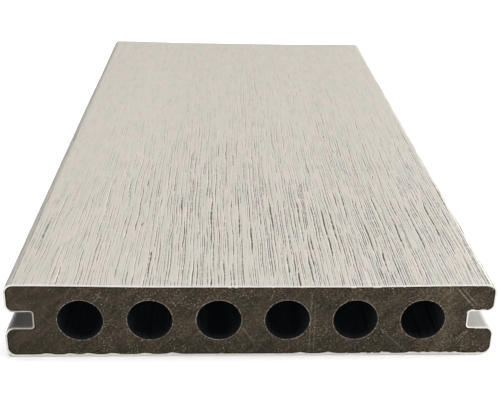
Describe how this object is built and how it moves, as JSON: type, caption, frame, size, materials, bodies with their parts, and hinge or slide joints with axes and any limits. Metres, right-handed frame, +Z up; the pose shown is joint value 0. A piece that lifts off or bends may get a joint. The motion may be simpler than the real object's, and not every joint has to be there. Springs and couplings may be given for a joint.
{
  "type": "decking board",
  "caption": "Short length of hollow capped composite decking board with round bores along it, rounded edges, wood-grain faces and a clip groove in each side.",
  "frame": {"origin": "middle of the board's underside, in the plane that it lies on", "axes": "+Y along the board, +Z up out of the walking face, +X across the width; the section is the same on both sides of X = 0"},
  "size_m": [0.14, 0.28, 0.0234],
  "materials": {
    "core": "sawn dark wood-plastic, matt, with pale wood specks",
    "cap": "matt pale warm grey with embossed wood grain"
  },
  "bodies": {
    "root": {"core": "core", "cap": "cap"}
  },
  "joints": []
}
